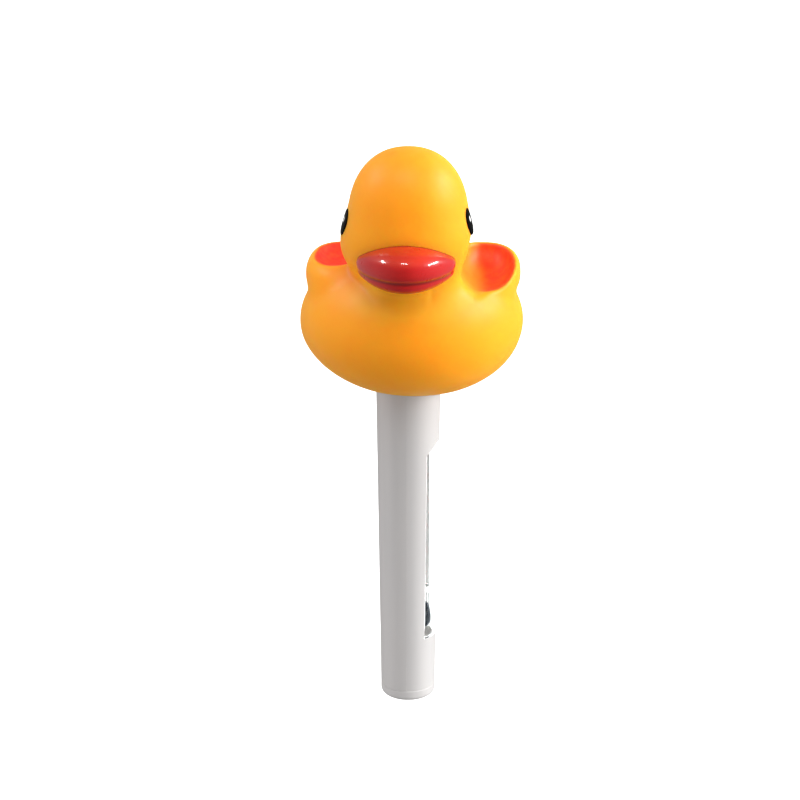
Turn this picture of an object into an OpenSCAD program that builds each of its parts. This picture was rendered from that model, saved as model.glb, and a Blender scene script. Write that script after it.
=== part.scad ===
// Floating duck pool thermometer.
// A hollow vinyl duck floats on the water and turns on a neck plug. A tapered two-piece tube hangs
// below it and carries a windowed thermometer, and a vented, ballasted end cap closes the foot.
// Origin: centre of the foot's resting face, on the tube's axis. +Z is up, the duck faces -Y,
// and the thermometer window faces +X.

/* [Tube] */
// Outer radius of the tube where it meets the end cap
foot_r = 11.3; // [11.2:0.05:11.6]
// Outer radius of the tube at its upper end
top_r = 13.05; // [13:0.05:13.4]
// Height of the end cap's visible rim
cap_h = 4.75; // [4.5:0.25:5.5]
// Height of the tube's upper end above the foot
tube_top = 134; // [133:0.5:134]
// Wall thickness of the tube
tube_wall = 1.6; // [1.4:0.05:1.65]

/* [Window] */
// Height of the window's lower edge
window_low = 28; // [27:0.5:29]
// Height of the window's upper edge at the rim, below its sloping brow
window_high = 109; // [106:0.5:110]
// Height gained by the sloping brow from the rim out to the tube's surface
brow_rise = 5; // [3:0.5:6]
// Distance of the window's rim from the axis, as a share of the outer radius
rim_share = 0.62; // [0.6:0.005:0.64]
// Thickness of the clear lens
lens_wall = 1; // [0.9:0.05:1]

/* [Thermometer] */
// Distance of the thermometer's axis from the tube's axis
stem_x = 7; // [7:0.05:7.3]
// Radius of the glass stem
stem_r = 1.7; // [1.6:0.05:1.7]
// Radius of the glass bulb
bulb_r = 2.5; // [2.3:0.05:2.5]
// Height of the bulb's lowest point
bulb_low = 29.6; // [29.4:0.1:30]
// Temperature that the column shows at rest, in degrees Celsius
reading = 25; // [15:1:35]

/* [Duck] */
// Widest width of the duck's body
body_w = 90; // [88:0.5:91]
// Length of the duck's body without its tail and beak
body_l = 92; // [90:0.5:94]
// Wall thickness of the hollow vinyl
vinyl_wall = 1.8; // [1.5:0.1:2]
// Width of the beak between its corners
beak_w = 38; // [36:0.5:40]

/* [Fits] */
// Radial clearance of parts that turn or slide on each other
run_gap = 0.05; // [0.03:0.01:0.09]

/* [Hidden] */
smooth = 64;          // fineness of round exact parts
eps = 0.01;

// Tube radii. The tube tapers evenly from its upper end to the foot.
taper = (top_r - foot_r) / (tube_top - cap_h);
function outer_r(z) = foot_r + (z - cap_h) * taper;
function inner_r(z) = outer_r(z) - tube_wall;
mouth_depth = 9;                        // depth of the round seats at the two ends of the tube
cap_bore_r = inner_r(cap_h) - 0.1;
plug_bore_r = inner_r(tube_top) - 0.25;
plug_depth = 14;
lap = 1;                                // width of the lap joint along the seam
lap_wall = 0.7;
lap_low = 16;
lap_high = 118;
seam_w = 0.24;                          // width and depth of the line that shows along the seam
seam_d = 0.2;

// Carrier and card, which stand behind the thermometer
card_x = stem_x - stem_r;               // front face of the card, against the stem
card_t = 0.4;
carrier_t = 1.5;
carrier_w = 15.2;
carrier_low = 17;
carrier_high = 118;
carrier_back = card_x - card_t - carrier_t;

// Thermometer
bulb_high = bulb_low + 11;              // where the bulb's shoulder meets the stem
stem_high = 112;
glass_wall = 0.35;
capillary_r = 0.3;
zero_z = 50;                            // height of the 0 degree mark
mm_per_degree = 1.1;
reading_z = zero_z + reading * mm_per_degree;
meniscus_h = 2;

// End cap and ballast
ballast_r = 5;
ballast_x = -2.5;
ballast_low = 8.2;
ballast_high = 44;
ballast_cup_high = 16.5;
tether_r = 1.6;
vent_r = 1.3;
vent_pcd_r = 7;
vents = 6;
floor_t = 2.2;

// Neck plug and the duck's neck lip
lip_low = 137.5;
lip_t = 3;
neck_r = 9.6;
washer_t = 1;
recess_r = 14.6;

// Duck forms: each is an ellipsoid given by its centre and its half sizes.
// The body and the wings sit a little towards +X of the neck, as the soft moulding does.
duck_base = 134.2;                      // flat underside of the duck
lean = 1;
body_c = [lean, 9, 161.8];
body_s = [body_w / 2, body_l / 2, 30.2];
head_c = [0, -8, 207];
head_s = [23.8, 25, 28];
cheek_c = [0, -11, 198.5];
cheek_s = [26, 21.5, 19.5];
tail_c = [lean, 36, 169];
tail_s = [16, 17, 14];
tail_tip_c = [lean, 53, 184];
tail_tip_r = 3.3;
wing_c = [28, 16, 179.8];
wing_s = [15.6, 25.5, 10];
// The hollows on top of the wings, on +X and on -X. The one on +X opens further down at its front.
scoop_c = [[30.8, 6, 189.3], [-28, 15, 192]];
scoop_s = [[11.6, 25, 13], [11.2, 21, 10]];
beak_c = [0, -33.5, 195.7];
beak_s = [16, 13.4, 6.6];
beak_low_c = [0, -32.4, 189.4];
beak_low_s = [15.5, 11.8, 5.3];
beak_corner_c = [beak_w / 2 - 2, -26.5, 193.8];
beak_corner_r = 2;
eye_c = [23.2, -14.6, 207.2];
eye_s = [1.9, 4.5, 5.6];
eye_turn = 18;
eye_tip = 11;

// ---- shared shapes ----

// An ellipsoid whose half sizes shrink by inset
module blob(c, s, inset, fn) {
    translate(c) scale([s.x - inset, s.y - inset, s.z - inset]) sphere(r = 1, $fn = fn);
}

// Leaves the size alone and merges its children into one skin
module one_skin() {
    resize([0, 0, 0]) union() { children(); }
}

// Half a ring about Z on the +X side, or on the -X side, between two heights.
// The radii may differ at its ends.
module half_ring(side, z0, z1, in0, out0, in1, out1) {
    rotate([0, 0, side > 0 ? -90 : 90])
        rotate_extrude(angle = 180, $fn = smooth)
            polygon([[in0, z0], [out0, z0], [out1, z1], [in1, z1]]);
}

// A full ring about Z
module ring(z0, z1, in, out) {
    translate([0, 0, z0]) difference() {
        cylinder(h = z1 - z0, r = out, $fn = smooth);
        translate([0, 0, -1]) cylinder(h = z1 - z0 + 2, r = in, $fn = smooth);
    }
}

// Half of the tube's wall with round seats for the end cap and the neck plug
module half_tube(side) {
    seat_top = cap_h + mouth_depth;
    seat_low = tube_top - plug_depth;
    rotate([0, 0, side > 0 ? -90 : 90])
        rotate_extrude(angle = 180, $fn = smooth)
            polygon([[cap_bore_r, cap_h], [foot_r, cap_h], [top_r, tube_top], [plug_bore_r, tube_top],
                     [plug_bore_r, seat_low], [inner_r(seat_low), seat_low - 0.5],
                     [inner_r(seat_top), seat_top + 0.5], [cap_bore_r, seat_top]]);
}

// The line along the seam, cut from both halves
module seam_line() {
    for (side = [-1, 1])
        intersection() {
            half_ring(side, cap_h - 1, tube_top + 1,
                      foot_r - seam_d, foot_r + 1, top_r - seam_d, top_r + 1);
            translate([-seam_w / 2, -20, 0]) cube([seam_w, 40, 150]);
        }
}

// The prism that cuts the window: a sloping rim plane with a brow above it
module window_prism(inset = 0) {
    low = window_low + inset;
    high = window_high - inset;
    rotate([90, 0, 0]) translate([0, 0, -20]) linear_extrude(40)
        polygon([[rim_share * outer_r(low), low], [20, low], [20, high + brow_rise * 2],
                 [outer_r(high) + 1, high + brow_rise * 1.2], [rim_share * outer_r(high), high]]);
}

// ---- duck float ----

module wing_scoops(grow = 0) {
    for (i = [0, 1])
        blob(scoop_c[i], scoop_s[i], -grow, 28);
}

module duck_outside() {
    difference() {
        union() {
            blob(body_c, body_s, 0, 48);
            hull() {
                blob(head_c, head_s, 0, 40);
                blob(cheek_c, cheek_s, 0, 36);
            }
            hull() {
                blob(tail_c, tail_s, 0, 24);
                translate(tail_tip_c) sphere(r = tail_tip_r, $fn = 16);
            }
            for (side = [-1, 1])
                blob([side * wing_c.x + lean, wing_c.y, wing_c.z], wing_s, 0, 32);
        }
        wing_scoops();
        translate([-60, -60, duck_base - 20]) cube([120, 120, 20]);
    }
}

// The air chamber: the same forms one wall thickness smaller, kept clear of the scoops and the neck boss
module duck_inside() {
    difference() {
        union() {
            blob(body_c, body_s, vinyl_wall, 32);
            hull() {
                blob(head_c, head_s, vinyl_wall, 24);
                blob(cheek_c, cheek_s, vinyl_wall, 24);
            }
        }
        wing_scoops(vinyl_wall);
        translate([-60, -60, duck_base - 20]) cube([120, 120, 20 + vinyl_wall]);
        translate([0, 0, duck_base]) cylinder(h = lip_low + lip_t - duck_base, r = recess_r + 2.4, $fn = 32);
    }
}

module duck_shell() {
    color("gold") difference() {
        one_skin() difference() {
            duck_outside();
            duck_inside();
            translate([0, 0, duck_base - 1]) cylinder(h = 20, r = neck_r - 2, $fn = 24);
        }
        translate([0, 0, duck_base - 1]) cylinder(h = lip_low - duck_base + 1, r = recess_r, $fn = smooth);
        translate([0, 0, lip_low - 1]) cylinder(h = lip_t + 1.5, r = neck_r + run_gap, $fn = smooth);
    }
}

module beak() {
    color("firebrick") one_skin() difference() {
        for (half = [0, 1])
            hull() {
                blob(half == 0 ? beak_c : beak_low_c, half == 0 ? beak_s : beak_low_s, 0, 32);
                for (side = [-1, 1])
                    translate([side * (beak_corner_c.x - half), beak_corner_c.y, beak_corner_c.z - 2 * half])
                        sphere(r = beak_corner_r, $fn = 16);
            }
        duck_outside();
    }
}

module eye(side) {
    color("black") one_skin() difference() {
        translate([side * eye_c.x, eye_c.y, eye_c.z]) rotate([0, -side * eye_tip, -side * eye_turn])
            blob([0, 0, 0], eye_s, 0, 24);
        duck_outside();
    }
}

// ---- neck plug ----

module neck_plug() {
    flange_high = lip_low - washer_t - run_gap;
    barb_low = lip_low + lip_t + 0.2;
    color("white") difference() {
        rotate_extrude($fn = smooth)
            polygon([[0, tube_top - plug_depth + 1], [plug_bore_r - run_gap - 0.6, tube_top - plug_depth + 1],
                     [plug_bore_r - run_gap, tube_top - plug_depth + 2], [plug_bore_r - run_gap, tube_top],
                     [top_r, tube_top], [top_r, flange_high],
                     [neck_r, flange_high], [neck_r, barb_low],
                     [neck_r + 2, barb_low], [neck_r + 2, barb_low + 1], [neck_r - 1.6, barb_low + 5],
                     [0, barb_low + 5]]);
        translate([0, 0, tube_top - plug_depth]) cylinder(h = plug_depth + 4, r = 7.6, $fn = smooth);
    }
}

module sealing_washer() {
    color("dimgray") ring(lip_low - washer_t - run_gap, lip_low - run_gap, neck_r + 0.1, 12.4);
}

// ---- tube ----

module rear_shell() {
    rib_t = 1.6;
    color("whitesmoke") difference() {
        union() {
            half_tube(-1);
            // lap along both seams
            intersection() {
                half_ring(1, lap_low, lap_high, inner_r(lap_low), inner_r(lap_low) + lap_wall,
                          inner_r(lap_high), inner_r(lap_high) + lap_wall);
                translate([-eps, -20, 0]) cube([lap + eps, 40, 150]);
            }
            // ribs that hold the carrier from behind
            for (z = [52, 82, 110])
                translate([0, 0, z]) linear_extrude(rib_t) difference() {
                    union() {
                        intersection() {
                            circle(r = inner_r(z) - 0.15, $fn = smooth);
                            translate([-20, -20]) square([20 + carrier_back, 40]);
                        }
                        intersection() {
                            circle(r = inner_r(z) + 0.4, $fn = smooth);
                            translate([-20, -20]) square([20 - lap, 40]);
                        }
                    }
                    circle(r = 5.8, $fn = smooth);
                    translate([0, -5]) square([10, 10]);
                }
        }
        seam_line();
        // air vent high on the side away from the window
        rotate([0, 0, 140]) translate([0, 0, 114]) rotate([0, 90, 0]) cylinder(h = 20, r = 1, $fn = smooth);
    }
}

// A pad at each side of the tube's inside, from x outwards
module side_pads(z, x, t) {
    translate([0, 0, z]) linear_extrude(t) intersection() {
        circle(r = inner_r(z) + 0.4, $fn = smooth);
        union() {
            translate([x, 5.6]) square([10, 10]);
            translate([x, -15.6]) square([10, 10]);
        }
    }
}

module front_shell() {
    pad_t = 1.6;
    color("whitesmoke") difference() {
        union() {
            half_tube(1);
            // pads that press the card and the carrier back against the ribs
            for (z = [21, 115])
                side_pads(z, card_x, pad_t);
            // ledges at the carrier's ends
            side_pads(carrier_low - pad_t, carrier_back + 0.3, pad_t);
            side_pads(carrier_high, carrier_back + 0.3, pad_t);
        }
        window_prism();
        seam_line();
        // room for the other half's lap
        intersection() {
            half_ring(1, lap_low - 0.2, lap_high + 0.2,
                      inner_r(lap_low) - 0.5, inner_r(lap_low) + lap_wall + 0.05,
                      inner_r(lap_high) - 0.5, inner_r(lap_high) + lap_wall + 0.05);
            translate([-1, -20, 0]) cube([1 + lap + 0.1, 40, 150]);
        }
    }
}

module window_lens() {
    fit = 0.05;
    color("lightcyan", 0.3) intersection() {
        half_ring(1, window_low + fit, 120,
                  outer_r(window_low) - lens_wall, outer_r(window_low),
                  outer_r(120) - lens_wall, outer_r(120));
        window_prism(fit);
    }
}

module scale_carrier() {
    color("white") difference() {
        translate([carrier_back, -carrier_w / 2, carrier_low])
            cube([carrier_t, carrier_w, carrier_high - carrier_low]);
        translate([carrier_back - 1, -3.2, bulb_low - 2]) cube([carrier_t + 2, 6.4, 16]);
        // lightening slots
        for (z = [58, 76, 92])
            translate([carrier_back - 1, -2, z]) cube([carrier_t + 2, 4, 10]);
    }
}

module scale_card() {
    margin = 0.6;
    color("ivory") difference() {
        translate([card_x - card_t, -carrier_w / 2 + margin, carrier_low + margin])
            cube([card_t, carrier_w - 2 * margin, carrier_high - carrier_low - 2 * margin]);
        translate([card_x - card_t - 1, -3.2, bulb_low - 2]) cube([card_t + 2, 6.4, 16]);
    }
}

// Outline of the bulb and stem, shrunk by inset for the space inside the glass
function bulb_outline(inset, top) =
    let (r = bulb_r - inset, foot = bulb_low + bulb_r, neck = max(capillary_r, stem_r - inset))
    concat([[0, bulb_low + inset]],
           [for (a = [-75:15:0]) [r * cos(a), foot + r * sin(a)]],
           [[r, foot + 3], [r * 0.92, foot + 4.6], [neck * 1.02, bulb_high - inset]],
           top);

module thermometer_glass() {
    color("lightblue", 0.4) translate([stem_x, 0, 0]) difference() {
        rotate_extrude($fn = smooth)
            polygon(bulb_outline(0, [[stem_r, bulb_high + 1], [stem_r, stem_high - 1],
                                     [stem_r - 0.8, stem_high], [0, stem_high]]));
        bulb_space();
        translate([0, 0, bulb_high]) cylinder(h = stem_high - bulb_high - 2, r = capillary_r, $fn = smooth);
    }
}

module bulb_space() {
    rotate_extrude($fn = smooth)
        polygon(bulb_outline(glass_wall, [[capillary_r, bulb_high + 0.6], [0, bulb_high + 0.6]]));
}

module bulb_liquid() {
    color("midnightblue") translate([stem_x, 0, 0]) bulb_space();
}

module liquid_column() {
    low = bulb_high + 0.6;
    color("midnightblue") translate([stem_x, 0, low])
        cylinder(h = reading_z - meniscus_h - low, r = capillary_r - run_gap, $fn = smooth);
}

module liquid_meniscus() {
    color("midnightblue") translate([stem_x, 0, reading_z - meniscus_h])
        cylinder(h = meniscus_h, r = capillary_r - run_gap, $fn = smooth);
}

// A saddle over the stem with a foot on the card at each side
module stem_clip(z) {
    saddle_t = 0.6;
    clip_w = 2.4;
    foot_w = 1.6;
    color("white") translate([stem_x, 0, z]) linear_extrude(clip_w) difference() {
        union() {
            circle(r = stem_r + saddle_t, $fn = smooth);
            translate([-stem_r, -stem_r - saddle_t - foot_w])
                square([saddle_t, 2 * (stem_r + saddle_t + foot_w)]);
            translate([-stem_r, -stem_r - saddle_t]) square([stem_r, 2 * (stem_r + saddle_t)]);
        }
        circle(r = stem_r, $fn = smooth);
        translate([-stem_r - 5, -10]) square([5, 20]);
        translate([-stem_r - 1, -stem_r]) square([stem_r + 1, 2 * stem_r]);
    }
}

// ---- end cap ----

module end_cap() {
    round_r = 2.2;
    groove = 0.3;                       // bevel that shows the joint with the tube
    spigot_r = cap_bore_r - run_gap;
    spigot_high = cap_h + mouth_depth - 0.5;
    spigot_wall = 1.5;
    web_t = 1.2;
    color("whitesmoke") difference() {
        union() {
            // rim with a rounded lower edge
            rotate_extrude($fn = smooth)
                polygon(concat([[0, 0]],
                    [for (a = [-90:15:0]) [foot_r - round_r + round_r * cos(a), round_r + round_r * sin(a)]],
                    [[foot_r, cap_h - 1.5 * groove], [foot_r - groove, cap_h], [0, cap_h]]));
            translate([0, 0, cap_h - eps]) cylinder(h = spigot_high - cap_h, r = spigot_r, $fn = smooth);
            translate([ballast_x, 0, cap_h])
                cylinder(h = ballast_cup_high - cap_h, r = ballast_r + 1.2, $fn = smooth);
        }
        // water chamber under the ballast, and the spigot's inside round the webs and the ballast cup
        translate([0, 0, floor_t]) cylinder(h = 4.8, r = spigot_r - spigot_wall, $fn = smooth);
        difference() {
            translate([0, 0, floor_t]) cylinder(h = 20, r = spigot_r - spigot_wall, $fn = smooth);
            translate([ballast_x, 0, 0]) cylinder(h = 20, r = ballast_r + 1.2, $fn = smooth);
            translate([-10, -web_t / 2, floor_t + 4.8]) cube([20, web_t, spigot_high]);
        }
        translate([ballast_x, 0, ballast_low]) cylinder(h = 20, r = ballast_r, $fn = smooth);
        translate([ballast_x, 0, floor_t]) cylinder(h = 20, r = ballast_r - 1.6, $fn = smooth);
        // groove for the friction ring
        translate([0, 0, 9]) difference() {
            cylinder(h = 1.8, r = spigot_r + 1, $fn = smooth);
            translate([0, 0, -1]) cylinder(h = 4, r = spigot_r - 0.8, $fn = smooth);
        }
        translate([0, 0, -1]) cylinder(h = floor_t + 2, r = tether_r, $fn = smooth);
        for (i = [0:vents - 1])
            rotate([0, 0, 30 + i * 360 / vents]) translate([vent_pcd_r, 0, -1])
                cylinder(h = floor_t + 2, r = vent_r, $fn = smooth);
    }
}

module cap_ring() {
    color("dimgray") ring(9.05, 10.75, cap_bore_r - run_gap - 0.8, cap_bore_r - 0.02);
}

module ballast_weight() {
    edge = 0.6;
    color("silver") translate([ballast_x, 0, 0]) rotate_extrude($fn = smooth)
        polygon([[0, ballast_low], [ballast_r - edge, ballast_low], [ballast_r, ballast_low + edge],
                 [ballast_r, ballast_high - edge], [ballast_r - edge, ballast_high], [0, ballast_high]]);
}

duck_shell();
beak();
eye(1);  // eye_left
eye(-1);  // eye_right
neck_plug();
sealing_washer();
rear_shell();
front_shell();
window_lens();
scale_carrier();
scale_card();
thermometer_glass();
bulb_liquid();
liquid_column();
stem_clip(46);  // stem_clip_lower
stem_clip(107);  // stem_clip_upper
liquid_meniscus();
end_cap();
cap_ring();
ballast_weight();
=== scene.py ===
# Looks of the floating duck pool thermometer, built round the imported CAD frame.
# The vinyl duck, its beak and its eyes are smooth implicit surfaces meshed here; the tube, its
# window and its inner parts are the CAD nodes with finished materials, and the card gets its scale.
# Shapes are worked out in millimetres in the part's own frame, and stored in metres.
import math

import bpy
import numpy as np
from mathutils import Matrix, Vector


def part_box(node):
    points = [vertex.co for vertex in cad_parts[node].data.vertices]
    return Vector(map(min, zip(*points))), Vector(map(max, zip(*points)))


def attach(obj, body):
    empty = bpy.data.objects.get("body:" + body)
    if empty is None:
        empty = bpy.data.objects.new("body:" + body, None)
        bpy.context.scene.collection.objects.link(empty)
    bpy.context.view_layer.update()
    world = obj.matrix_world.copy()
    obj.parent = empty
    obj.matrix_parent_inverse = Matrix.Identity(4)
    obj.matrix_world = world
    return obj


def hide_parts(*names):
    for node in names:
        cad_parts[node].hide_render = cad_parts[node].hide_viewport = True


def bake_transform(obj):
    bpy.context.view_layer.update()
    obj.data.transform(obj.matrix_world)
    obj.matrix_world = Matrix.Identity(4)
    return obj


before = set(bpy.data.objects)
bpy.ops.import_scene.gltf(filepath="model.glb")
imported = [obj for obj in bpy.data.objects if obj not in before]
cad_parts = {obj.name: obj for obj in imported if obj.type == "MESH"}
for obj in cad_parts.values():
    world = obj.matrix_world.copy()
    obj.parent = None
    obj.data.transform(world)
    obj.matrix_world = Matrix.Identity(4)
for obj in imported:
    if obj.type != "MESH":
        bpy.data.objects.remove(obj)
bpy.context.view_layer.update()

scene = bpy.context.scene
MM = 0.001


def box_mm(node):
    """A node's lowest and highest corners in millimetres."""
    low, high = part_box(node)
    return np.array(low) * 1000, np.array(high) * 1000


# ---- camera ----

def make_camera():
    """A long lens a little above the duck, looking down at it from its front."""
    azimuth = math.radians(2.5)     # towards the window side
    pitch = math.radians(18.14)
    aim_left = math.radians(0.24)   # sets the tube a little right of the middle
    away, height = 0.807, 0.394
    data = bpy.data.cameras.new("camera")
    data.sensor_width = 36
    data.lens = 94.2
    data.clip_start = 0.05
    camera = bpy.data.objects.new("camera", data)
    camera.location = (away * math.sin(azimuth), -away * math.cos(azimuth), height)
    camera.rotation_euler = (math.pi / 2 - pitch, 0, azimuth + aim_left)
    scene.collection.objects.link(camera)
    scene.camera = camera


make_camera()


# ---- implicit surfaces, in millimetres ----

def ellipsoid(p, centre, radii, power=2.0):
    """Nearly the distance to an ellipsoid; a power above 2 squares it off."""
    r = np.asarray(radii, float)
    q = np.abs((p - np.asarray(centre, float)) / r) + 1e-9
    k = (q ** power).sum(-1) ** (1 / power)
    slope = k ** (1 - power) * np.sqrt(((q ** (power - 1) / r) ** 2).sum(-1))
    return (k - 1) / np.maximum(slope, 1e-4)


def round_cone(p, a, b, ra, rb):
    """A rod whose radius changes from ra to rb."""
    a, b = np.asarray(a, float), np.asarray(b, float)
    along = np.clip(((p - a) @ (b - a)) / ((b - a) @ (b - a)), 0, 1)
    nearest = a + along[..., None] * (b - a)
    return np.linalg.norm(p - nearest, axis=-1) - (ra + (rb - ra) * along)


def drum(p, radius, low, high):
    """A cylinder about the tube's axis between two heights."""
    side = np.hypot(p[..., 0], p[..., 1]) - radius
    return np.maximum(side, np.maximum(low - p[..., 2], p[..., 2] - high))


def join(a, b, k):
    """Union with a fillet about k wide."""
    h = np.clip(0.5 + 0.5 * (b - a) / k, 0, 1)
    return b * (1 - h) + a * h - k * h * (1 - h)


def both(a, b, k):
    """Intersection with an edge rounded about k wide."""
    return -join(-a, -b, k)


def cut(a, b, k):
    """Take b out of a, with an edge rounded about k wide."""
    return both(a, -b, k)


def ramp(x, low, high):
    """0 below low, 1 above high, smooth between. low may be the larger."""
    t = np.clip((x - low) / (high - low), 0, 1)
    return t * t * (3 - 2 * t)


def skin_of(field, low, high, step):
    """Mesh the zero surface of a field: one vertex in each cell it crosses, pulled onto the surface."""
    axes = [np.arange(a, b + step, step) for a, b in zip(low, high)]
    grid = np.stack(np.meshgrid(*axes, indexing="ij"), -1)
    value = np.concatenate([field(slab) for slab in np.array_split(grid, 12)])
    n = np.array(value.shape) - 1
    total = np.zeros((*n, 3))
    count = np.zeros(n)
    crossings = []
    for axis in range(3):
        a = np.moveaxis(value, axis, 0)[:-1]
        b = np.moveaxis(value, axis, 0)[1:]
        a, b = np.moveaxis(a, 0, axis), np.moveaxis(b, 0, axis)
        hit = (a < 0) != (b < 0)
        index = np.argwhere(hit)
        other = [k for k in range(3) if k != axis]
        inner = np.all([(index[:, k] > 0) & (index[:, k] < n[k]) for k in other], axis=0)
        index = index[inner]
        fa, fb = a[tuple(index.T)], b[tuple(index.T)]
        point = index.astype(float)
        point[:, axis] += fa / (fa - fb)
        around = []
        for u, v in ((-1, -1), (0, -1), (0, 0), (-1, 0)):
            cell = index.copy()
            cell[:, other[0]] += u
            cell[:, other[1]] += v
            np.add.at(total, tuple(cell.T), point)
            np.add.at(count, tuple(cell.T), 1)
            around.append(cell)
        flip = (fa < 0) == (axis != 1)
        crossings.append((around, flip))
    used = count > 0
    number = np.full(n, -1)
    number[used] = np.arange(used.sum())
    verts = total[used] / count[used][:, None] * step + np.array(low)
    faces = []
    for around, flip in crossings:
        quad = np.stack([number[tuple(c.T)] for c in around], 1)
        quad[~flip] = quad[~flip][:, ::-1]
        faces.append(quad)
    for _ in range(4):
        f = field(verts)
        h = 0.02
        grad = np.stack([(field(verts + h * e) - field(verts - h * e)) / (2 * h) for e in np.eye(3)], -1)
        move = -grad * (f / np.maximum((grad ** 2).sum(-1), 0.05))[:, None]
        length = np.linalg.norm(move, axis=-1, keepdims=True)
        verts = verts + move * np.minimum(1, step * 0.3 / np.maximum(length, 1e-9))
    return verts, np.concatenate(faces)


def make_piece(name, verts, faces, body, smooth=True, attributes=()):
    """Store a mesh worked out in millimetres as a piece that rides on a body, if one is named."""
    mesh = bpy.data.meshes.new(name)
    mesh.from_pydata((np.asarray(verts) * MM).tolist(), [], [list(map(int, f)) for f in faces])
    mesh.validate()
    mesh.update()
    for key, values in dict(attributes).items():
        layer = mesh.attributes.new(key, "FLOAT", "POINT")
        layer.data.foreach_set("value", np.asarray(values, dtype=np.float32))
    mesh.shade_smooth() if smooth else mesh.shade_flat()
    piece = bpy.data.objects.new(name, mesh)
    scene.collection.objects.link(piece)
    if body:
        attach(piece, body)
    return piece


# ---- the duck's forms ----

LEAN = 0.9                           # the soft body sits a little towards +X of the neck
RECESS_R = 14.6                      # recess under the duck, round the plug's flange and washer
NECK_ROOM_R = 10.3                   # room for the plug's neck
BARB_ROOM_R = 13                     # room for its snap head
LIP_T = 3                            # the neck lip that the snap head holds
base_z = box_mm("duck_shell")[0][2]
lip_low = box_mm("sealing_washer")[1][2]
top_z = box_mm("duck_shell")[1][2]


def head_form(p):
    head = ellipsoid(p, (0.2, -8, top_z - 28), (23.6, 25, 28), 2.2)
    cheeks = ellipsoid(p, (-0.1, -11, 198.5), (26, 21.5, 19.5))
    return join(head, cheeks, 5)


def scoop_form(p):
    """The hollows of the two raised wings. The one on +X opens further down at its front."""
    left = ellipsoid(p, (-28.0, 15, 192), (11.2, 21, 10), 2.3)
    right = ellipsoid(p, (30.8, 6, 189.3), (11.6, 25, 13), 2.2)
    return np.where(p[..., 0] < 0, left, right)


def duck_form(p):
    x, z = p[..., 0], p[..., 2]
    q = p.copy()
    q[..., 0] = x - LEAN - 0.06 * np.clip(155 - z, 0, 30)      # it sags further over at the bottom
    body = ellipsoid(q, (0, 9, 161.7), (45.1, 46, 30.1))
    tail = round_cone(p, (LEAN, 34, 169), (LEAN, 51.6, 183), 14, 4.4)
    duck = join(body, tail, 9)
    q[..., 0] = np.abs(x - 1.3)
    wing = ellipsoid(q, (28, 16, 179.8), (15.4, 25, 9.6), 2.5)
    duck = join(duck, wing, 3 + 4 * ramp(p[..., 1], 8, -6))
    # The head meets the body in a crease on -X, and swells into it on +X and in front.
    front = ramp(p[..., 1], -16, -26) * ramp(np.abs(x), 20, 8)
    duck = join(duck, head_form(p), 3.5 + np.maximum(10 * ramp(x, -8, 22), 7 * front))
    soft = ramp(x, 0, 1) * ramp(x, 34, 26) * ramp(p[..., 1], 12, 0)
    scoop = both(scoop_form(p), 0.6 - head_form(p), 2)         # the hollows stop at the head
    duck = cut(duck, scoop, 2 + 7 * soft)
    duck = cut(duck, z - base_z, 3)
    duck = np.maximum(duck, -drum(p, RECESS_R, 0, lip_low))
    duck = np.maximum(duck, -drum(p, NECK_ROOM_R, 0, lip_low + 10))
    return np.maximum(duck, -drum(p, BARB_ROOM_R, lip_low + LIP_T, lip_low + 10))


def paint_of(p):
    """How much red is sprayed on: crisp at the rims of the wing hollows, fading to the neck on +X."""
    x, z = p[..., 0], p[..., 2]
    inside = ramp(scoop_form(p), 1.1, 0.1) * ramp(head_form(p), 0.1, 1.4)      # the head stays clean
    fade = np.where(x > 0, 0.92 * ramp(x - 0.5 * np.clip(182 - z, 0, 20), 22, 30), 1)
    return inside * fade


def bill_form(p, centre, radii, power, pointed, droop, curl):
    """A lens with pointed corners at its two sides: sections across it shrink towards the corners."""
    x, y, z = (p[..., k] - centre[k] for k in range(3))
    along = np.clip(np.abs(x / radii[0]), 0, 1)
    side = np.clip(1 - along ** 2, 1e-4, 1) ** pointed
    sweep = 7.5 * along ** 2                     # the corners sweep back round the face
    drop = z - curl * along ** 2 - droop * (y - sweep)
    k = (np.abs((y - sweep) / radii[1]) ** power + np.abs(drop / radii[2]) ** power) ** (1 / power)
    return both((k - side) * radii[2] * 0.8, np.abs(x) - radii[0] + 1, 1.5)


def beak_halves(p):
    upper = bill_form(p, (0.2, -33.5, 195.7), (20.2, 13.4, 6.5), 2.5, 0.66, 0.10, -2.1)
    lower = bill_form(p, (0.2, -32.4, 189.4), (19.8, 11.8, 5.2), 2.2, 0.6, 0.04, 2.1)
    return upper, lower


def beak_form(p):
    tongue = bill_form(p, (0.2, -32.6, 192.2), (19.6, 11.8, 4), 2.0, 0.5, 0.06, 0)
    return join(join(*beak_halves(p), 0.5), tongue, 0.3)


def eye_axes(side):
    """Where an eye sits on the side of the head, and its outward, rearward and upward directions."""
    turn, tip = math.radians(18), math.radians(11)
    out = np.array([side * math.cos(turn), -math.sin(turn), 0])
    back = np.array([side * math.sin(turn), math.cos(turn), 0])
    up = np.array([-side * math.sin(tip) * math.cos(turn), math.sin(tip) * math.sin(turn), math.cos(tip)])
    return np.array([side * 24.3, -14.6, 207.2 + 0.35 * side]), out, back, up


def eye_oval(p, side, u0=0.0, v0=0.0, ru=None, rv=5.4):
    """Nearly the distance to an oval drawn on the side of the head."""
    centre, _, back, up = eye_axes(side)
    ru = ru or 4.2 - 0.3 * side
    u, v = (p - centre) @ back, (p - centre) @ up
    return (np.hypot((u - u0) / ru, (v - v0) / rv) - 1) * ru


def eye_form(p, side):
    """A low raised pad that follows the head's surface."""
    centre, out, _, _ = eye_axes(side)
    head = head_form(p)
    other_side = -6 - (p - centre) @ out
    return np.maximum(both(eye_oval(p, side), head - 0.35, 0.6), np.maximum(-1.2 - head, other_side))


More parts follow.
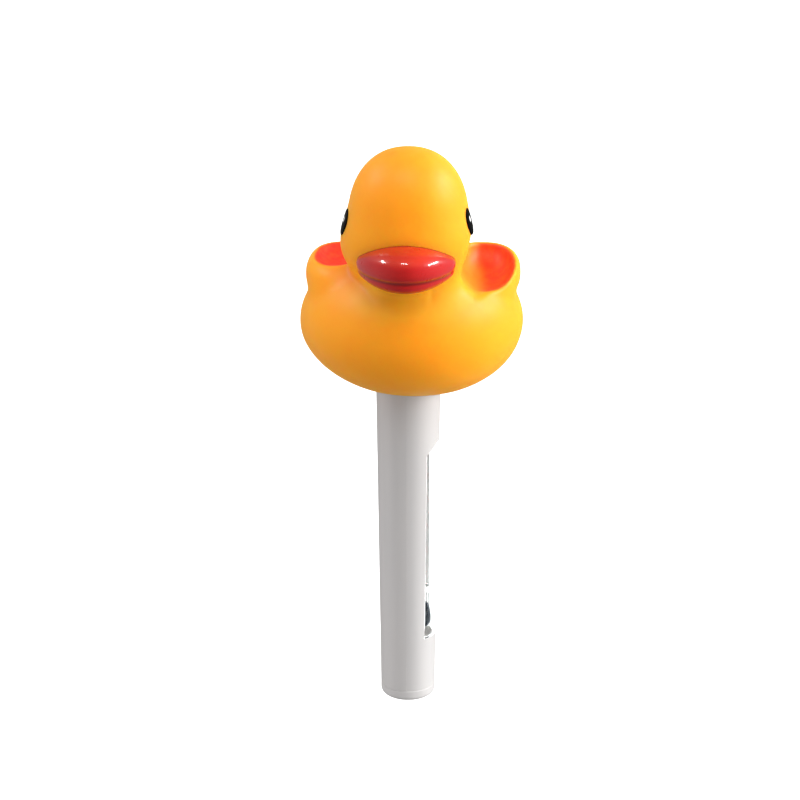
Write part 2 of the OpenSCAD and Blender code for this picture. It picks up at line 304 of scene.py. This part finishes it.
def make_duck():
    low, high = box_mm("duck_shell")
    step = 0.8
    verts, faces = skin_of(duck_form, low - 2.3, high + 2.3, step)
    halo = ramp(beak_form(verts), 3.2, 0.2)
    # painted light: a paler patch under the beak, lifting the shadow that the beak casts on the chest
    chest_painted_light = ramp(np.linalg.norm((verts - (0, -30, 180)) / (26, 20, 9), axis=-1), 1.3, 0.3)
    duck = make_piece("duck_skin", verts, faces, "float",
                      attributes={"paint": paint_of(verts), "halo": halo, "chest_painted_light": chest_painted_light})
    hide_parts("duck_shell")
    return duck


def make_beak():
    low, high = box_mm("beak")
    verts, faces = skin_of(beak_form, low - (2, 2, 2), high + (2, 3, 2), 0.45)
    upper, lower = beak_halves(verts)
    # painted shade: the beak darkened where it meets the face and along the mouth line, where shade falls
    rim = np.maximum(ramp(duck_form(verts), 1.3, 0.3), ramp(np.abs(upper - lower), 0.7, 0.1))
    # painted light: the beak's upper part tinted brighter orange, where it faces the light from above
    beak_top_light = ramp(verts[:, 2] - 0.1 * (verts[:, 1] + 33), 197.0, 200.2)
    beak = make_piece("beak_skin", verts, faces, "float",
                      attributes={"rim": rim, "beak_top_light": beak_top_light})
    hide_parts("beak")
    return beak


def make_eye(side, name, node):
    """A raised oval with a painted white glint."""
    low, high = box_mm(node)
    verts, faces = skin_of(lambda p: eye_form(p, side), low - 2.6, high + 2.6, 0.3)
    glint = ramp(eye_oval(verts, side, 0.2, 0.9, 0.7, 1.0), 0.25, -0.15)
    eye = make_piece(name, verts, faces, "float", attributes={"glint": glint})
    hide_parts(node)
    return eye


# ---- materials ----

class Finish:
    """A procedural material: a principled shader and the nodes that vary it over the surface."""

    def __init__(self, name, colour, roughness, **sockets):
        self.material = bpy.data.materials.new(name)
        self.material.use_nodes = True
        self.tree = self.material.node_tree
        self.tree.nodes.clear()
        self.shader = self.node("ShaderNodeBsdfPrincipled")
        output = self.node("ShaderNodeOutputMaterial")
        self.link(self.shader.outputs[0], output.inputs["Surface"])
        self.shader.inputs["Base Color"].default_value = (*colour, 1)
        self.shader.inputs["Roughness"].default_value = roughness
        for key, value in sockets.items():
            self.shader.inputs[key.replace("_", " ")].default_value = value
        self.colour = (*colour, 1)
        self.place = self.node("ShaderNodeTexCoord").outputs["Object"]

    def node(self, kind, **values):
        made = self.tree.nodes.new(kind)
        for key, value in values.items():
            setattr(made, key, value)
        return made

    def link(self, a, b):
        self.tree.links.new(a, b)

    def stretch(self, sx, sy, sz):
        scaled = self.node("ShaderNodeVectorMath", operation="MULTIPLY")
        scaled.inputs[1].default_value = (sx, sy, sz)
        self.link(self.place, scaled.inputs[0])
        return scaled.outputs[0]

    def noise(self, scale, detail=3, rough=0.5, place=None):
        made = self.node("ShaderNodeTexNoise")
        made.inputs["Scale"].default_value = scale
        made.inputs["Detail"].default_value = detail
        made.inputs["Roughness"].default_value = rough
        self.link(place or self.place, made.inputs["Vector"])
        return made.outputs[0]

    def attribute(self, name):
        made = self.node("ShaderNodeAttribute", attribute_name=name)
        return made.outputs["Fac"]

    def range(self, value, low, high, out_low, out_high):
        made = self.node("ShaderNodeMapRange")
        for key, number in zip(("From Min", "From Max", "To Min", "To Max"), (low, high, out_low, out_high)):
            made.inputs[key].default_value = number
        self.link(value, made.inputs["Value"])
        return made.outputs["Result"]

    def tint(self, amount, colour, under=None):
        """Mix a colour over what is there by amount, and return the result."""
        made = self.node("ShaderNodeMix", data_type="RGBA")
        made.inputs["A"].default_value = self.colour
        if under is not None:
            self.link(under, made.inputs["A"])
        made.inputs["B"].default_value = (*colour, 1)
        self.link(amount, made.inputs["Factor"])
        return made.outputs["Result"]

    def set_colour(self, value):
        self.link(value, self.shader.inputs["Base Color"])

    def set_roughness(self, value):
        self.link(value, self.shader.inputs["Roughness"])

    def bump(self, *layers, socket="Normal"):
        """Stack bumps: each layer is (height, strength, depth in millimetres)."""
        last = None
        for height, strength, depth in layers:
            made = self.node("ShaderNodeBump")
            made.inputs["Strength"].default_value = strength
            made.inputs["Distance"].default_value = depth * MM
            self.link(height, made.inputs["Height"])
            if last is not None:
                self.link(last, made.inputs["Normal"])
            last = made.outputs["Normal"]
        self.link(last, self.shader.inputs[socket])


def vinyl():
    m = Finish("vinyl", (0.93, 0.335, 0.010), 0.5, Subsurface_Weight=0.7, Subsurface_Scale=0.014,
               Subsurface_Radius=(1.0, 0.4, 0.1), Specular_IOR_Level=0.2)
    broad = m.range(m.noise(38, 2), 0.35, 0.68, 0, 1)
    col = m.tint(broad, (0.94, 0.36, 0.013))
    specks = m.range(m.noise(900, 2, 0.6), 0.60, 0.75, 0, 0.12)
    col = m.tint(specks, (0.74, 0.24, 0.012), col)
    halo = m.range(m.attribute("halo"), 0, 1, 0, 0.2)
    col = m.tint(halo, (0.85, 0.20, 0.02), col)
    chest_painted_light = m.range(m.attribute("chest_painted_light"), 0, 1, 0, 0.75)
    col = m.tint(chest_painted_light, (1.0, 0.50, 0.025), col)               # painted light: paler vinyl under the beak, lifting the beak's shadow on the chest
    mottled = m.node("ShaderNodeMath", operation="MULTIPLY")
    m.link(m.attribute("paint"), mottled.inputs[0])
    m.link(m.range(m.noise(260, 3, 0.6), 0.25, 0.6, 0.86, 1), mottled.inputs[1])
    col = m.tint(mottled.outputs[0], (0.89, 0.028, 0.008), col)
    m.set_colour(col)
    m.set_roughness(m.range(m.noise(120, 4, 0.6), 0.3, 0.7, 0.44, 0.56))
    m.bump((m.noise(55, 1), 0.3, 0.5), (m.noise(1500, 2, 0.6), 0.12, 0.06))
    return m.material


def beak_gloss():
    m = Finish("beak_gloss", (0.42, 0.008, 0.008), 0.3, Coat_Weight=1.0, Coat_Roughness=0.03, Coat_IOR=1.3,
               Specular_IOR_Level=0.1)
    col = m.tint(m.range(m.noise(90, 3), 0.35, 0.7, 0, 1), (0.47, 0.011, 0.010))
    # painted light: the brighter orange band on the beak's upper part
    col = m.tint(m.attribute("beak_top_light"), (0.56, 0.028, 0.011), col)
    # painted shade: a darker red where the beak meets the face and at the mouth line
    m.set_colour(m.tint(m.range(m.attribute("rim"), 0, 1, 0, 0.75), (0.16, 0.004, 0.004), col))
    m.set_roughness(m.range(m.noise(300, 3), 0.3, 0.7, 0.26, 0.36))
    m.bump((m.noise(140, 1), 0.2, 0.2))
    m.bump((m.noise(160, 1), 0.2, 0.15), socket="Coat Normal")
    return m.material


def eye_gloss():
    m = Finish("eye_gloss", (0.0010, 0.0010, 0.0012), 0.25, Specular_IOR_Level=0.008)
    col = m.tint(m.range(m.noise(500, 2), 0.4, 0.8, 0, 0.4), (0.002, 0.002, 0.0025))
    m.set_colour(m.tint(m.attribute("glint"), (0.9, 0.9, 0.88), col))
    m.set_roughness(m.range(m.noise(700, 2), 0.3, 0.7, 0.14, 0.28))
    m.bump((m.noise(600, 2), 0.12, 0.05))
    return m.material


def white_plastic():
    m = Finish("white_plastic", (0.515, 0.50, 0.495), 0.36, Subsurface_Weight=0.05, Subsurface_Scale=0.002,
               Subsurface_Radius=(1, 0.9, 0.85), Specular_IOR_Level=0.6)
    streak = m.noise(1, 3, 0.55, m.stretch(130, 130, 9))
    col = m.tint(m.range(streak, 0.4, 0.75, 0, 1), (0.485, 0.475, 0.475))
    m.set_colour(m.tint(m.range(m.noise(1400, 2, 0.7), 0.66, 0.78, 0, 0.35), (0.6, 0.59, 0.57), col))
    m.set_roughness(m.range(m.noise(1, 3, 0.6, m.stretch(500, 500, 40)), 0.3, 0.7, 0.30, 0.44))
    m.bump((m.noise(60, 1), 0.2, 0.25), (m.noise(2200, 2, 0.6), 0.08, 0.03))
    return m.material


def clear_lens():
    """Clear plastic. Its index is below acrylic's, so that the window hardly bends what stands behind it."""
    m = Finish("clear_lens", (0.96, 0.985, 0.985), 0.03, Transmission_Weight=1.0, IOR=1.12)
    m.set_roughness(m.range(m.noise(1, 3, 0.6, m.stretch(600, 600, 60)), 0.45, 0.75, 0.015, 0.07))
    m.bump((m.noise(70, 1), 0.15, 0.1))
    return m.material


def thermometer_glass():
    """Clear glass. Its index is below real glass's, so that the stem doesn't magnify the printed card."""
    m = Finish("thermo_glass", (0.97, 0.99, 0.99), 0.01, Transmission_Weight=1.0, IOR=1.05)
    m.set_roughness(m.range(m.noise(400, 2), 0.4, 0.7, 0.0, 0.04))
    m.bump((m.noise(90, 1), 0.1, 0.05))
    return m.material


def dark_liquid():
    m = Finish("dark_liquid", (0.008, 0.010, 0.014), 0.3, Specular_IOR_Level=0.1)
    m.set_colour(m.tint(m.range(m.noise(300, 2), 0.3, 0.7, 0, 1), (0.016, 0.020, 0.026)))
    m.set_roughness(m.range(m.noise(500, 2), 0.3, 0.7, 0.22, 0.36))
    m.bump((m.noise(500, 1), 0.05, 0.03))
    return m.material


def printed_card():
    """A card toned darker than white, so that its scale reads in the strong light from the window side."""
    m = Finish("printed_card", (0.34, 0.34, 0.33), 0.6, Specular_IOR_Level=0.1)
    fibres = m.noise(1, 4, 0.6, m.stretch(900, 900, 300))
    m.set_colour(m.tint(m.range(fibres, 0.4, 0.7, 0, 1), (0.31, 0.31, 0.30)))
    m.set_roughness(m.range(m.noise(900, 2), 0.3, 0.7, 0.48, 0.62))
    m.bump((m.noise(1600, 3, 0.7), 0.15, 0.03))
    return m.material


def scale_ink(name, colour):
    m = Finish(name, colour, 0.6, Specular_IOR_Level=0.05)
    m.set_colour(m.tint(m.range(m.noise(2500, 2), 0.5, 0.8, 0, 0.35), tuple(0.04 + 0.9 * c for c in colour)))
    m.set_roughness(m.range(m.noise(1800, 2), 0.3, 0.7, 0.42, 0.6))
    return m.material


def black_rubber():
    m = Finish("black_rubber", (0.02, 0.02, 0.021), 0.6)
    m.set_colour(m.tint(m.range(m.noise(700, 3), 0.4, 0.75, 0, 1), (0.05, 0.05, 0.052)))
    m.set_roughness(m.range(m.noise(900, 3), 0.3, 0.7, 0.5, 0.75))
    m.bump((m.noise(2600, 3), 0.2, 0.04))
    return m.material


def turned_steel():
    m = Finish("turned_steel", (0.55, 0.55, 0.56), 0.32, Metallic=1.0)
    rings = m.noise(1, 3, 0.6, m.stretch(60, 60, 2600))
    m.set_colour(m.tint(m.range(m.noise(120, 4, 0.65), 0.45, 0.75, 0, 1), (0.42, 0.40, 0.38)))
    m.set_roughness(m.range(rings, 0.3, 0.7, 0.24, 0.44))
    m.bump((rings, 0.25, 0.03))
    return m.material


FINISHES = {
    "white": white_plastic(),
    "lens": clear_lens(),
    "glass": thermometer_glass(),
    "liquid": dark_liquid(),
    "card": printed_card(),
    "rubber": black_rubber(),
    "steel": turned_steel(),
}
NODE_FINISH = {
    "neck_plug": "white", "rear_shell": "white", "front_shell": "white", "end_cap": "white",
    "scale_carrier": "white", "stem_clip_lower": "white", "stem_clip_upper": "white",
    "window_lens": "lens", "thermometer_glass": "glass",
    "liquid_meniscus": "liquid",
    "scale_card": "card", "sealing_washer": "rubber", "cap_ring": "rubber", "ballast_weight": "steel",
}


def dress(piece, material):
    piece.data.materials.clear()
    piece.data.materials.append(material)


for node, finish in NODE_FINISH.items():
    for slot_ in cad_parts[node].material_slots:
        slot_.link = "OBJECT"
        slot_.material = FINISHES[finish]
    if finish in ("lens", "glass") or node == "front_shell":
        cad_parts[node].visible_shadow = False      # the clear parts and the thin shell let light in


# ---- liquid thread and printed scale ----

def make_thread():
    """The column of liquid, which stretches between the bulb and the meniscus."""
    low, high = box_mm("liquid_column")
    centre, radius = (low + high) / 2, (high[0] - low[0]) / 2
    sides = 20
    angle = np.arange(sides) * 2 * math.pi / sides
    circle = np.stack([centre[0] + radius * np.cos(angle), centre[1] + radius * np.sin(angle)], 1)
    verts = [(x, y, z) for z in (low[2], high[2]) for x, y in circle]
    faces = [(i, (i + 1) % sides, sides + (i + 1) % sides, sides + i) for i in range(sides)]
    faces += [tuple(range(sides))[::-1], tuple(range(sides, 2 * sides))]
    thread = make_piece("liquid_thread", verts, faces, None)
    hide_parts("liquid_column")
    dress(thread, FINISHES["liquid"])
    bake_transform(thread)


def make_bulb_liquid():
    """The liquid in the bulb. It stands a little into the glass wall, so that no gap shows between."""
    low, high = box_mm("bulb_liquid")
    radius, axis_x = (high[0] - low[0]) / 2, (high[0] + low[0]) / 2
    length = high[2] - low[2]
    into_glass = 0.3
    # The bulb's outline as (share of the radius, share of the height), from its foot to its neck
    profile = [(0.0, 0.0), (0.32, 0.02), (0.62, 0.07), (0.87, 0.16), (0.98, 0.25), (1.0, 0.33), (1.0, 0.45),
               (0.96, 0.56), (0.87, 0.66), (0.74, 0.77), (0.58, 0.88), (0.40, 0.95), (0.17, 0.985)]
    sides = 28
    verts = [(axis_x, 0, low[2] - 0.1)]
    for share, height in profile[1:]:
        r = share * radius + into_glass
        verts += [(axis_x + r * math.cos(k * 2 * math.pi / sides), r * math.sin(k * 2 * math.pi / sides),
                   low[2] + height * length) for k in range(sides)]
    verts.append((axis_x, 0, high[2]))
    faces = [(0, 1 + (k + 1) % sides, 1 + k) for k in range(sides)]
    for ring in range(len(profile) - 2):
        a = 1 + ring * sides
        b = a + sides
        faces += [(a + k, a + (k + 1) % sides, b + (k + 1) % sides, b + k) for k in range(sides)]
    a = 1 + (len(profile) - 2) * sides
    faces += [(a + k, a + (k + 1) % sides, len(verts) - 1) for k in range(sides)]
    bulb = make_piece("liquid_bulb", verts, faces, "housing")
    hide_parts("bulb_liquid")
    dress(bulb, FINISHES["liquid"])


def make_scale():
    """Degree marks and numbers on the card: Celsius on the right of the stem, Fahrenheit on the left."""
    face = box_mm("scale_card")[1][0]
    per_degree = 1.1
    zero = box_mm("liquid_meniscus")[1][2] - 25 * per_degree     # the column rests at 25 degrees Celsius
    ink, print_t = 0.34, 0.05                     # width of a fine line, and how far the print stands proud
    bold = 1.6                                    # share by which the numbered lines are wider
    gap = 1.9                                     # from the stem's axis to where the lines begin
    number_gap = 4.35                             # and to where the numbers begin
    celsius_size, fahrenheit_size = 2.9, 2.4

    def height_of(fahrenheit):
        return zero + (fahrenheit - 32) / 1.8 * per_degree
    verts, faces = [], []

    def mark(y0, y1, z, width):
        first = len(verts)
        z0, z1 = z - width / 2, z + width / 2
        for x in (face, face + print_t):
            verts.extend([(x, y0, z0), (x, y1, z0), (x, y1, z1), (x, y0, z1)])
        faces.extend([[first + k for k in quad] for quad in
                      ((4, 5, 6, 7), (3, 2, 1, 0), (0, 1, 5, 4), (1, 2, 6, 5), (2, 3, 7, 6), (3, 0, 4, 7))])

    for degree in range(0, 51):
        length = 2.2 if degree % 10 == 0 else 1.7 if degree % 5 == 0 else 1.1
        mark(gap, gap + length, zero + degree * per_degree, ink * (bold if degree % 10 == 0 else 1))
    for degree in range(32, 123, 2):
        length = 2.2 if degree % 20 == 0 else 1.7 if degree % 10 == 0 else 1.1
        mark(-gap - length, -gap, height_of(degree), ink * (bold if degree % 20 == 0 else 1))
    marks = make_piece("scale_marks", verts, faces, "housing", smooth=False)
    dress(marks, scale_ink("scale_ink", (0.015, 0.02, 0.05)))

    def number(text, name, y, z, align, colour, size):
        data = bpy.data.curves.new(name, "FONT")
        data.body = text
        data.size = size * MM
        data.align_x, data.align_y = align, "CENTER"
        data.extrude = print_t / 2 * MM
        data.resolution_u = 3
        source = bpy.data.objects.new(name, data)
        scene.collection.objects.link(source)
        source.rotation_euler = (math.pi / 2, 0, math.pi / 2)
        source.location = ((face + print_t / 2) * MM, y * MM, z * MM)
        bpy.context.view_layer.update()
        mesh = bpy.data.meshes.new_from_object(source.evaluated_get(bpy.context.evaluated_depsgraph_get()))
        mesh.transform(source.matrix_world)
        bpy.data.objects.remove(source)
        made = bpy.data.objects.new(name, mesh)
        scene.collection.objects.link(made)
        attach(made, "housing")
        dress(made, colour)

    blue = scale_ink("scale_blue", (0.01, 0.05, 0.25))
    red = scale_ink("scale_red", (0.45, 0.02, 0.02))
    for degree in range(0, 51, 10):
        number(str(degree), f"celsius_{degree}", number_gap, zero + degree * per_degree, "LEFT", red,
               celsius_size)
    for degree in range(40, 121, 20):
        number(str(degree), f"fahrenheit_{degree}", -number_gap, height_of(degree), "RIGHT", blue,
               fahrenheit_size)


# ---- stage and light ----

def make_stage():
    """A pale floor that the foot clears even when it is pulled down."""
    size, z = 5.0, -0.012
    mesh = bpy.data.meshes.new("floor")
    corners = [(-size, -size, z), (size, -size, z), (size, size, z), (-size, size, z)]
    mesh.from_pydata(corners, [], [(0, 1, 2, 3)])
    floor = bpy.data.objects.new("floor", mesh)
    scene.collection.objects.link(floor)
    m = Finish("floor_paint", (0.9, 0.9, 0.9), 0.85, Emission_Color=(1, 1, 1, 1), Emission_Strength=0.6)
    dress(floor, m.material)
    floor.visible_diffuse = False       # the sky lights the part from below too, so the floor adds nothing
    floor.visible_glossy = False
    floor.visible_shadow = False        # and lets the low suns through


def make_light(name, azimuth, elevation, energy, disc=None, size=None, colour=(1, 1, 1), lights="both"):
    """A distant soft disc, or a rectangle 0.9 m away. It can light only the shading, or only the gloss."""
    data = bpy.data.lights.new(name, "SUN" if disc else "AREA")
    data.energy = energy
    data.color = colour
    if disc:
        data.angle = math.radians(disc)
    else:
        data.shape = "RECTANGLE"
        data.size, data.size_y = size
    light = bpy.data.objects.new(name, data)
    a, e = math.radians(azimuth), math.radians(elevation)
    way = Vector((math.sin(a) * math.cos(e), -math.cos(a) * math.cos(e), math.sin(e)))
    light.location = Vector((0, 0, 0.15)) + way * 0.9
    light.rotation_euler = way.to_track_quat("Z", "Y").to_euler()
    light.visible_glossy = lights != "shading"
    light.visible_diffuse = lights != "gloss"
    scene.collection.objects.link(light)


def make_light_and_world():
    """A pale room whose two side walls are brightest, a low key on the window side, a top light and
    three fills. The three rectangles are there only to be reflected."""
    world = bpy.data.worlds.new("studio")
    world.use_nodes = True
    tree = world.node_tree
    back = tree.nodes["Background"]
    back.inputs["Strength"].default_value = 1.0
    where = tree.nodes.new("ShaderNodeTexCoord")
    split = tree.nodes.new("ShaderNodeSeparateXYZ")
    square = tree.nodes.new("ShaderNodeMath")
    square.operation = "MULTIPLY"
    shade = tree.nodes.new("ShaderNodeMapRange")
    for key, number in (("From Min", 0), ("From Max", 1), ("To Min", 0.28), ("To Max", 0.80)):
        shade.inputs[key].default_value = number
    tree.links.new(where.outputs["Generated"], split.inputs[0])
    tree.links.new(split.outputs["X"], square.inputs[0])
    tree.links.new(split.outputs["X"], square.inputs[1])
    tree.links.new(square.outputs[0], shade.inputs["Value"])
    tree.links.new(shade.outputs["Result"], back.inputs["Color"])
    scene.world = world
    make_light("key", 85, 7, 4.3, disc=44, colour=(1.0, 0.995, 0.98), lights="shading")
    make_light("top", 12, 66, 2.1, disc=60, lights="shading")
    make_light("left_fill", -82, -12, 0.74, disc=40, colour=(1.0, 0.955, 0.95), lights="shading")
    make_light("back_fill", 180, 25, 1.6, disc=50, lights="shading")
    make_light("front_fill", -8, -20, 0.20, disc=40, lights="shading")
    make_light("sheen", 98, 35, 11, size=(0.45, 0.06), lights="gloss")
    make_light("strip_front", -6, 70, 3.0, size=(0.25, 0.05), lights="gloss")
    make_light("strip_left", -100, 47, 4, size=(0.25, 0.08), lights="gloss")
    scene.view_settings.view_transform = "Standard"


# ---- build ----

duck = make_duck()
dress(duck, vinyl())
dress(make_beak(), beak_gloss())
eye_black = eye_gloss()
dress(make_eye(1, "eye_skin_left", "eye_left"), eye_black)
dress(make_eye(-1, "eye_skin_right", "eye_right"), eye_black)
make_thread()
make_bulb_liquid()
make_scale()
make_stage()
make_light_and_world()
